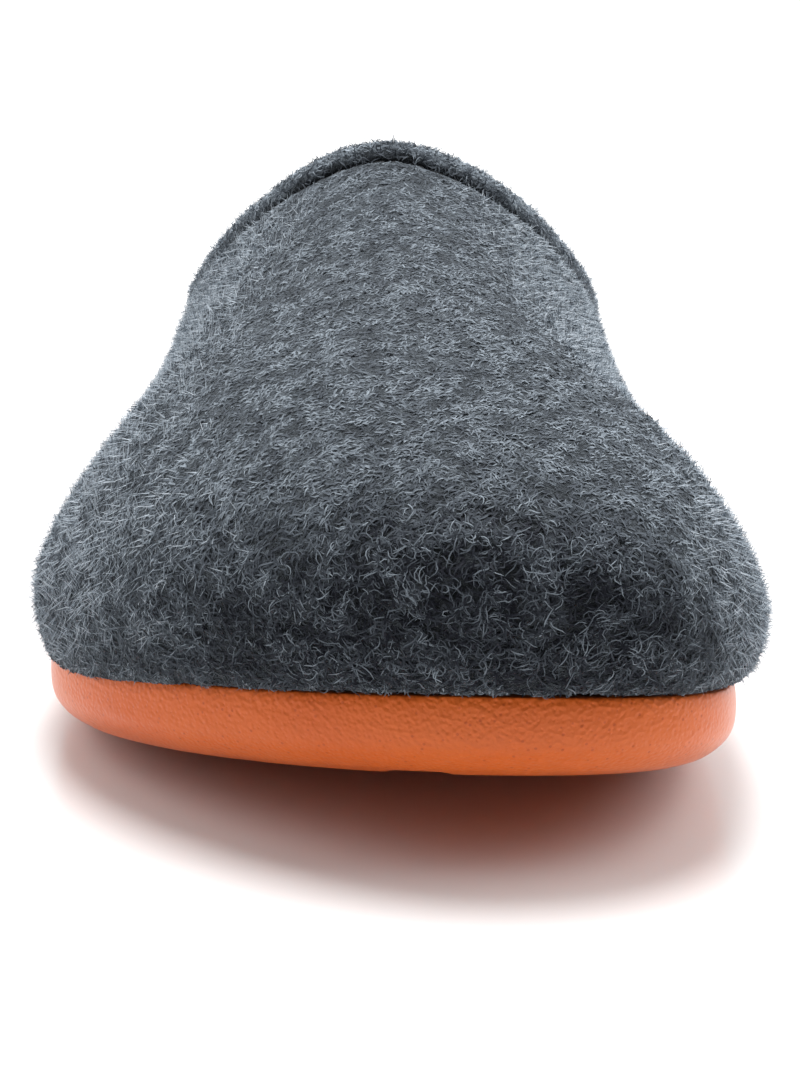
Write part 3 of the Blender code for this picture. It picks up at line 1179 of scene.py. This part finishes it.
@dataclass
class FibreBed:
    """The upper's triangles as the bed that fibres are rooted in."""

    corners: np.ndarray
    places: np.ndarray
    normals: np.ndarray
    area: np.ndarray

    @classmethod
    def of(cls, mesh: bpy.types.Mesh) -> "FibreBed":
        """Read the bed.

        Args:
            mesh: the finished upper's mesh.

        Returns:
            The bed.
        """
        mesh.calc_loop_triangles()
        corners = np.empty(len(mesh.loop_triangles) * 3, dtype=np.int64)
        mesh.loop_triangles.foreach_get("vertices", corners)
        corners = corners.reshape(-1, 3)
        places, normals = vertex_arrays(mesh)
        first, second, third = (places[corner] for corner in corners.T)
        area = np.linalg.norm(np.cross(second - first, third - first), axis=1) / 2.0
        return cls(corners, places, normals, area)

    def scatter(self, weight: np.ndarray, count: int, rng: np.random.Generator) -> Scatter:
        """Choose roots at random.

        Args:
            weight: how thickly roots stand at each vertex.
            count: how many roots there are.
            rng: the random numbers to use.

        Returns:
            The roots.
        """
        reached = np.cumsum(self.area * weight[self.corners].mean(axis=1))
        chosen = np.searchsorted(reached, rng.uniform(0.0, reached[-1], count))
        first, second = rng.uniform(0.0, 1.0, (2, count))
        over = first + second > 1.0
        first[over] = 1.0 - first[over]
        second[over] = 1.0 - second[over]
        return Scatter(self.corners[chosen], np.column_stack([1.0 - first - second, first, second]))


@dataclass
class Nap:
    """The curly wool nap over the upper's outside."""

    spare_roots: int = 2
    inside_share: float = 0.03
    swirl_per_metre: float = 190.0
    swirl_heading: float = 1.05
    swirl_spread: float = 2.6
    heading_spread: float = 0.45
    comb_heading: float = 1.30
    comb_spread: float = 0.42
    lock_per_metre: float = 260.0
    lock_bend: float = 4.5
    top_bend: float = 0.35
    facing_spread: float = 0.20
    width_spread: Span = (0.75, 1.25)
    tip_narrowing: float = 0.5
    arc: Span = (0.45, 1.0)
    highest: float = 0.0017
    sunk: float = 0.0001
    groove_clear: float = 0.0008
    groove_bare: float = 0.97
    # Painted shade: how far from the groove the fibres are darkened, and how dark.
    painted_groove_reach: float = 0.0018
    painted_groove_tone: float = 0.28
    groove_reach: float = 0.0040
    groove_length: float = 0.42
    groove_lift: float = 0.25
    roll_length: float = 0.95
    roll_lift: float = 1.3
    roll_fuzz: float = 0.5
    # Painted light and shade in the fibres' tones: the bright fuzz dimmed on the roll, fibres lighter on
    # the roll, its face, tufts and sides, and darker in voids on the toe.
    roll_fuzz_drop: float = 0.15
    painted_roll_tone: float = 0.02
    painted_roll_face_tone: float = 0.42
    painted_top_tuft_tone: float = 0.36
    painted_toe_tuft_tone: float = 0.74
    painted_side_tone: float = 0.05
    hem_reach: float = 0.0040
    hem_length: float = 0.38
    hem_loose: float = 1.5
    FACES_LENGTHWISE: ClassVar[float] = 0.8
    layers: tuple[NapLayer, ...] = (
        NAP_GROUND,
        NAP_SHORT,
        NAP_CURLS,
        NAP_WISPS,
        NAP_FUZZ,
        NAP_HEM,
    )

    def build(self, upper: DressedUpper) -> list[bpy.types.Object]:
        """Make every layer.

        Args:
            upper: the finished upper.

        Returns:
            The new pieces, one for each layer.
        """
        bed = FibreBed.of(upper.piece.data)
        material = WOOL_NAP.material()
        return [self.layer(layer, bed, upper.zones, material) for layer in self.layers]

    def layer(
        self, layer: NapLayer, bed: FibreBed, zones: Zones, material: bpy.types.Material
    ) -> bpy.types.Object:
        """Make one layer of fibres as ribbons in one mesh.

        Args:
            layer: the layer's sizes.
            bed: the upper's faces.
            zones: the upper's zones.
            material: the wool's material.

        Returns:
            The new piece.
        """
        rng = np.random.default_rng(layer.seed)
        spare = bed.scatter(self.weight(layer, zones), layer.count * self.spare_roots, rng)
        bare = 1.0 - TUFTS.at(spare.at(bed.places))
        roots = spare.chosen(1.0 - layer.clumping * bare, layer.count, rng)
        normal = unit(roots.at(bed.normals))
        line = self.lines(layer, roots, roots.at(bed.places), normal, zones, rng)
        ribbons = self.ribbons(layer, line, normal, rng)
        piece = self.ribbon_piece(layer.name, ribbons, self.tones(layer, roots, bed, zones, rng))
        dress(piece, material)
        return piece

    def weight(self, layer: NapLayer, zones: Zones) -> np.ndarray:
        """How thickly a layer's fibres stand.

        Args:
            layer: the layer's sizes.
            zones: the upper's zones.

        Returns:
            A weight for each vertex.
        """
        if layer.patch is Patch.HEM:
            return zones.hem
        bare = self.groove_bare * nearness(zones.from_groove, self.groove_clear)
        cover = np.maximum(zones.outside, self.inside_share) * (1.0 - bare)
        if layer.patch is Patch.SIDES:
            cover = cover * np.maximum(zones.side, self.roll_fuzz * zones.roll)
        return cover * blend(1.0, layer.toe_share, zones.toe_wall)

    def reach(self, layer: NapLayer, zones: Zones) -> np.ndarray:
        """How long a layer's fibres are, as a share of their full length.

        Args:
            layer: the layer's sizes.
            zones: the upper's zones.

        Returns:
            A share for each vertex.
        """
        if layer.patch is Patch.HEM:
            return np.ones(len(zones.hem))
        off_groove = smoothstep(zones.from_groove / self.groove_reach)
        painted_groove_mask = blend(blend(self.groove_length, 1.0, off_groove), self.roll_length, zones.roll)
        by_hem = blend(self.hem_length, 1.0, smoothstep(zones.from_hem / self.hem_reach))
        return np.minimum(painted_groove_mask, by_hem) * blend(layer.top_length, 1.0, zones.toe_wall)

    def raised(self, zones: Zones) -> np.ndarray:
        """How far fibres stand up at each vertex, as a share of their layer's lift."""
        plain = blend(self.groove_lift, 1.0, smoothstep(zones.from_groove / self.groove_reach))
        return blend(plain, self.roll_lift, zones.roll)

    def lines(
        self,
        layer: NapLayer,
        roots: Scatter,
        place: np.ndarray,
        normal: np.ndarray,
        zones: Zones,
        rng: np.random.Generator,
    ) -> np.ndarray:
        """Each fibre's middle line, curling over the felt.

        Args:
            layer: the layer's sizes.
            roots: the roots.
            place: the roots' places.
            normal: the felt's normal at each root.
            zones: the upper's zones.
            rng: the random numbers to use.

        Returns:
            Points by fibre and by place along it.
        """
        size = (layer.count, 1)
        share = np.linspace(0.0, 1.0, layer.segments + 1)[None, :]
        helper = np.where(np.abs(normal[:, 1:2]) < self.FACES_LENGTHWISE, LENGTHWISE, UPWARD)
        side = unit(np.cross(helper, normal))
        ahead = np.cross(normal, side)
        heading = self.headings(layer, roots, place, zones, rng)
        lock = noise_at(place, self.lock_per_metre, Pattern.LOCKS)[:, None] * self.lock_bend
        loose = roots.at(blend(self.top_bend, 1.0, zones.toe_wall))[:, None]
        bend = (lock + rng.normal(0.0, layer.bend, size)) * loose
        kink = rng.normal(0.0, layer.kink, size) * loose
        phase = rng.uniform(0.0, FULL_TURN, size)
        angle = heading + bend * share + kink * np.sin(FULL_TURN * share + phase)
        length = rng.uniform(*layer.length, size) * roots.at(self.reach(layer, zones))[:, None]
        forward = np.cumsum(np.cos(angle), axis=1) * length / layer.segments
        sideways = np.cumsum(np.sin(angle), axis=1) * length / layer.segments
        lift = length * rng.uniform(*layer.lift, size) * roots.at(self.raised(zones))[:, None]
        arc = np.sin(math.pi * share * rng.uniform(*self.arc, size))
        rise = np.minimum(lift, self.highest) * arc - self.sunk
        return (
            place[:, None]
            + ahead[:, None] * (forward - forward[:, :1])[..., None]
            + side[:, None] * (sideways - sideways[:, :1])[..., None]
            + normal[:, None] * rise[..., None]
        )

    def headings(
        self, layer: NapLayer, roots: Scatter, place: np.ndarray, zones: Zones, rng: np.random.Generator
    ) -> np.ndarray:
        """Which way each fibre sets out: combed across on top, swirling on the toe, down at the hem.

        Args:
            layer: the layer's sizes.
            roots: the roots.
            place: the roots' places.
            zones: the upper's zones.
            rng: the random numbers to use.

        Returns:
            An angle on the felt for each fibre.
        """
        size = (layer.count, 1)
        either = math.pi * rng.integers(0, 2, size)
        swirl = noise_at(place, self.swirl_per_metre, Pattern.SWIRLS)[:, None] * self.swirl_spread
        swirl = self.swirl_heading + swirl + rng.normal(0.0, self.heading_spread, size) + either
        combed = rng.normal(self.comb_heading, self.comb_spread, size) + either
        on_toe = roots.at(zones.toe_wall)[:, None] > rng.uniform(0.0, 1.0, size)
        hanging = math.pi + rng.normal(0.0, self.comb_spread, size)
        at_hem = roots.at(zones.hem)[:, None] > rng.uniform(0.0, self.hem_loose, size)
        return np.where(at_hem, hanging, np.where(on_toe, swirl, combed))

    def ribbons(
        self, layer: NapLayer, line: np.ndarray, normal: np.ndarray, rng: np.random.Generator
    ) -> np.ndarray:
        """Widen each fibre's line to a ribbon that lies on the felt and ends in a point.

        Args:
            layer: the layer's sizes.
            line: points by fibre and by place along it.
            normal: the felt's normal at each root.
            rng: the random numbers to use.

        Returns:
            Points by fibre: pairs of edge points, then the tip.
        """
        facing = unit(normal + rng.normal(0.0, self.facing_spread, normal.shape))
        across = unit(np.cross(np.gradient(line, axis=1), facing[:, None]))
        taper = 1.0 - self.tip_narrowing * np.linspace(0.0, 1.0, layer.segments + 1) ** 2
        half = layer.width / 2.0 * taper * rng.uniform(*self.width_spread, (layer.count, 1))
        edges = np.stack([line - across * half[..., None], line + across * half[..., None]], axis=2)
        return np.concatenate([edges[:, :-1].reshape(layer.count, -1, 3), line[:, -1:]], axis=1)

    def tones(
        self, layer: NapLayer, roots: Scatter, bed: FibreBed, zones: Zones, rng: np.random.Generator
    ) -> np.ndarray:
        """How light each fibre is: its own random tone, with painted light on tufts, the roll, its face
        and the sides, and painted shade in voids, on the toe's wall and by the groove.

        Args:
            layer: the layer's sizes.
            roots: the roots.
            bed: the upper's faces.
            zones: the upper's zones.
            rng: the random numbers to use.

        Returns:
            A tone from 0 to 1 for each fibre.
        """
        middle, spread = layer.tone.value
        tone = rng.normal(middle, spread, layer.count)
        # Painted shade: fibres on the toe's wall are darker.
        tone = tone * roots.at(blend(1.0, layer.painted_toe_tone, zones.toe_wall))
        # Painted light and shade: fibres on tufts are lighter and fibres in voids darker, more so on the
        # toe.
        painted_toe_tuft_tone = self.painted_toe_tuft_tone * layer.toe_tuft
        painted_tuft_tone = roots.at(blend(self.painted_top_tuft_tone, painted_toe_tuft_tone, zones.toe_wall))
        tone = tone + painted_tuft_tone * (TUFTS.at(roots.at(bed.places)) - TUFTS.middle)
        # Painted light: fibres on the sides are a little lighter.
        tone = tone + self.painted_side_tone * roots.at(zones.side * (1.0 - zones.toe_wall))
        # Painted light on the roll and its face; on the roll the bright fuzz is dimmed instead.
        if layer.patch is Patch.SIDES:
            painted_on_roll = -self.roll_fuzz_drop * roots.at(zones.roll)
        else:
            painted_on_roll = roots.at(self.painted_roll_tone * zones.roll + self.painted_roll_face_tone * zones.painted_light_roll_face)
        # Painted shade: fibres by the groove are darker.
        painted_groove_mask = roots.at(nearness(zones.from_groove, self.painted_groove_reach))
        return np.clip((tone + painted_on_roll) * blend(1.0, self.painted_groove_tone, painted_groove_mask), 0.0, 1.0)

    @staticmethod
    def ribbon_piece(name: str, ribbons: np.ndarray, tone: np.ndarray) -> bpy.types.Object:
        """One object from an array of ribbons.

        Args:
            name: the object's name.
            ribbons: points by fibre: pairs of edge points, then the tip.
            tone: each fibre's tone.

        Returns:
            The new object.
        """
        count, size = ribbons.shape[:2]
        tip = size - 1
        quads = [(row, row + 1, row + 3, row + 2) for row in range(0, tip - 2, 2)]
        faces = [*quads, (tip - 2, tip - 1, tip)]
        loops = np.array([corner for face in faces for corner in face])
        starts = np.cumsum([0] + [len(face) for face in faces[:-1]])
        fibre = np.arange(count)[:, None]
        corners = (fibre * size + loops).astype(np.int32)
        face_starts = (fibre * len(loops) + starts).astype(np.int32)
        mesh = bpy.data.meshes.new(name)
        mesh.vertices.add(count * size)
        mesh.vertices.foreach_set("co", ribbons.astype(np.float32).ravel())
        mesh.loops.add(corners.size)
        mesh.loops.foreach_set("vertex_index", corners.ravel())
        mesh.polygons.add(face_starts.size)
        mesh.polygons.foreach_set("loop_start", face_starts.ravel())
        mesh.update(calc_edges=True)
        mesh.shade_smooth()
        set_attribute(mesh, "tone", np.repeat(tone, size))
        return add_object(name, mesh)


@dataclass
class Sole:
    """The moulded foam sole, with a channel at both ends of its underside."""

    levels: int = 2
    tread_cuts: int = 1
    tread_from: float = 0.80
    tread_over: float = 0.15
    channel_across: float = 0.0045
    channel_half_width: float = 0.0036
    channel_edge: float = 1.25
    channel_slope: float = 0.50
    channel_depth: float = 0.0009
    channel_start: float = 0.070
    channel_fade: float = 0.020

    def build(self) -> bpy.types.Object:
        """Make the sole.

        Returns:
            The new piece.
        """
        shaped = merged_copy("sole")
        tread = [edge for edge in shaped.edges if self.is_tread(edge)]
        bmesh.ops.subdivide_edges(shaped, edges=tread, cuts=self.tread_cuts, use_grid_fill=True)
        piece = refined(shaped, "foam_sole", self.levels)
        places, normals = vertex_arrays(piece.data)
        under = smoothstep((-normals[:, 2] - self.tread_from) / self.tread_over)
        beside = np.abs(places[:, 0] - self.channel_across) / self.channel_half_width
        at_ends = smoothstep((np.abs(places[:, 1]) - self.channel_start) / self.channel_fade)
        channel = self.channel_depth * smoothstep((self.channel_edge - beside) / self.channel_slope)
        places[:, 2] += under * channel * at_ends
        set_places(piece.data, places)
        set_attribute(piece.data, "off_tread", 1.0 - under)
        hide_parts("sole")
        dress(piece, SOLE_FOAM.material())
        return piece

    def is_tread(self, edge: bmesh.types.BMEdge) -> bool:
        """Whether an edge bounds a face that looks down."""
        return any(face.normal.z < -self.tread_from for face in edge.link_faces)


@dataclass
class Insole:
    """The felt insole, its face slightly uneven."""

    levels: int = 2
    lump: float = 0.00018
    lump_per_metre: float = 110.0

    def build(self) -> bpy.types.Object:
        """Make the insole, its lumps all sunk below the solid's face.

        Returns:
            The new piece.
        """
        piece = refined(merged_copy("insole"), "felt_insole", self.levels)
        places, normals = vertex_arrays(piece.data)
        lumps = self.lump * (noise_at(places, self.lump_per_metre, Pattern.INSOLE_LUMPS) - 1.0)
        set_places(piece.data, places + normals * lumps[:, None])
        # The insole gets no painted shade or light: its factor is one all over.
        set_attribute(piece.data, "painted_shade", np.ones(len(places)))
        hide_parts("insole")
        dress(piece, INSOLE_FELT.material())
        return piece


@dataclass
class PhotoCamera:
    """A camera before the toe, at the photograph's place and angle."""

    place: Place = (0.0044, -0.3845, 0.1292)
    pitch_deg: float = 17.99
    yaw_deg: float = -0.57
    roll_deg: float = -0.55
    lens_mm: float = 72.7
    sensor_mm: float = 36.0
    nearest: float = 0.01
    farthest: float = 50.0

    def build(self) -> bpy.types.Object:
        """Make the camera and use it.

        Returns:
            The new camera.
        """
        lens = bpy.data.cameras.new("photo_camera")
        lens.lens = self.lens_mm
        lens.sensor_width = self.sensor_mm
        lens.clip_start = self.nearest
        lens.clip_end = self.farthest
        turned = (
            Matrix.Rotation(math.radians(-self.yaw_deg), 4, "Z")
            @ Matrix.Rotation(math.radians(90.0 - self.pitch_deg), 4, "X")
            @ Matrix.Rotation(math.radians(-self.roll_deg), 4, "Z")
        )
        camera = add_object("photo_camera", lens)
        camera.matrix_world = Matrix.Translation(self.place) @ turned
        bpy.context.scene.camera = camera
        return camera


@dataclass(frozen=True)
class Panel:
    """A glowing panel that faces the toe, its power in watts."""

    name: str
    place: Place
    power: float
    size: Span
    aim: Place = (0.0, -0.08, 0.03)

    def build(self) -> None:
        """Make the panel."""
        light = bpy.data.lights.new(self.name, "AREA")
        light.shape = "RECTANGLE"
        light.energy = self.power
        light.size, light.size_y = self.size
        place = Vector(self.place)
        turned = (Vector(self.aim) - place).to_track_quat("-Z", "Y").to_matrix().to_4x4()
        add_object(self.name, light).matrix_world = Matrix.Translation(place) @ turned


@dataclass
class Studio:
    """A pale floor, a soft key light from above, four glowing panels and an even surround."""

    floor_half: float = 60.0
    floor_gap: float = 0.0002
    key_strength: float = 3.7
    key_spread_deg: float = 26.0
    key_lean_deg: float = 11.0
    key_side_deg: float = -1.0
    surround: float = 0.08
    panels: tuple[Panel, ...] = (
        Panel(name="left", place=(-0.80, 0.00, 0.55), power=4.8, size=(0.8, 0.8)),
        Panel(name="right", place=(0.80, 0.05, 0.70), power=7.4, size=(0.8, 0.8)),
        Panel(name="overhead", place=(0.00, 0.20, 1.70), power=12.0, size=(3.6, 1.4)),
        Panel(name="back", place=(0.00, 2.40, 1.05), power=30.0, size=(4.0, 2.0)),
    )

    def build(self) -> None:
        """Make floor, lights and surround."""
        self.build_floor()
        self.build_key()
        for panel in self.panels:
            panel.build()
        self.build_surround()

    def build_floor(self) -> None:
        """Make the floor, just below the tread."""
        shaped = bmesh.new()
        below = Matrix.Translation((0.0, 0.0, -self.floor_gap))
        bmesh.ops.create_grid(shaped, x_segments=1, y_segments=1, size=self.floor_half, matrix=below)
        floor = add_object("studio_floor", mesh_from(shaped, "studio_floor"))
        floor.data.materials.append(STUDIO_FLOOR.material())

    def build_key(self) -> None:
        """Make the key light, leaning over the toe from behind."""
        sun = bpy.data.lights.new("key", "SUN")
        sun.energy = self.key_strength
        sun.angle = math.radians(self.key_spread_deg)
        lean = math.radians(-self.key_lean_deg)
        add_object("key", sun).rotation_euler = (lean, math.radians(self.key_side_deg), 0.0)

    def build_surround(self) -> None:
        """Make the even surround, with plain colours in the picture."""
        world = bpy.data.worlds.new("surround")
        world.use_nodes = True
        sky = world.node_tree.nodes["Background"]
        sky.inputs["Color"].default_value = (*WHITE, 1.0)
        sky.inputs["Strength"].default_value = self.surround
        bpy.context.scene.world = world
        bpy.context.scene.view_settings.view_transform = "Standard"


def triangle_count(piece: bpy.types.Object) -> int:
    """How many triangles a piece's faces make."""
    return sum(len(face.vertices) - 2 for face in piece.data.polygons)


def main() -> None:
    """Build every piece in order and report each one."""
    logging.basicConfig(level=logging.INFO, format="%(name)s: %(message)s")
    PhotoCamera().build()
    Studio().build()
    pieces = [Sole().build(), Insole().build()]
    upper = Upper().build()
    pieces += [upper.piece, CollarStitching().build(upper.groove), *Nap().build(upper)]
    for piece in pieces:
        LOG.info("%s: %d triangles", piece.name, triangle_count(piece))


if __name__ == "__main__":
    main()
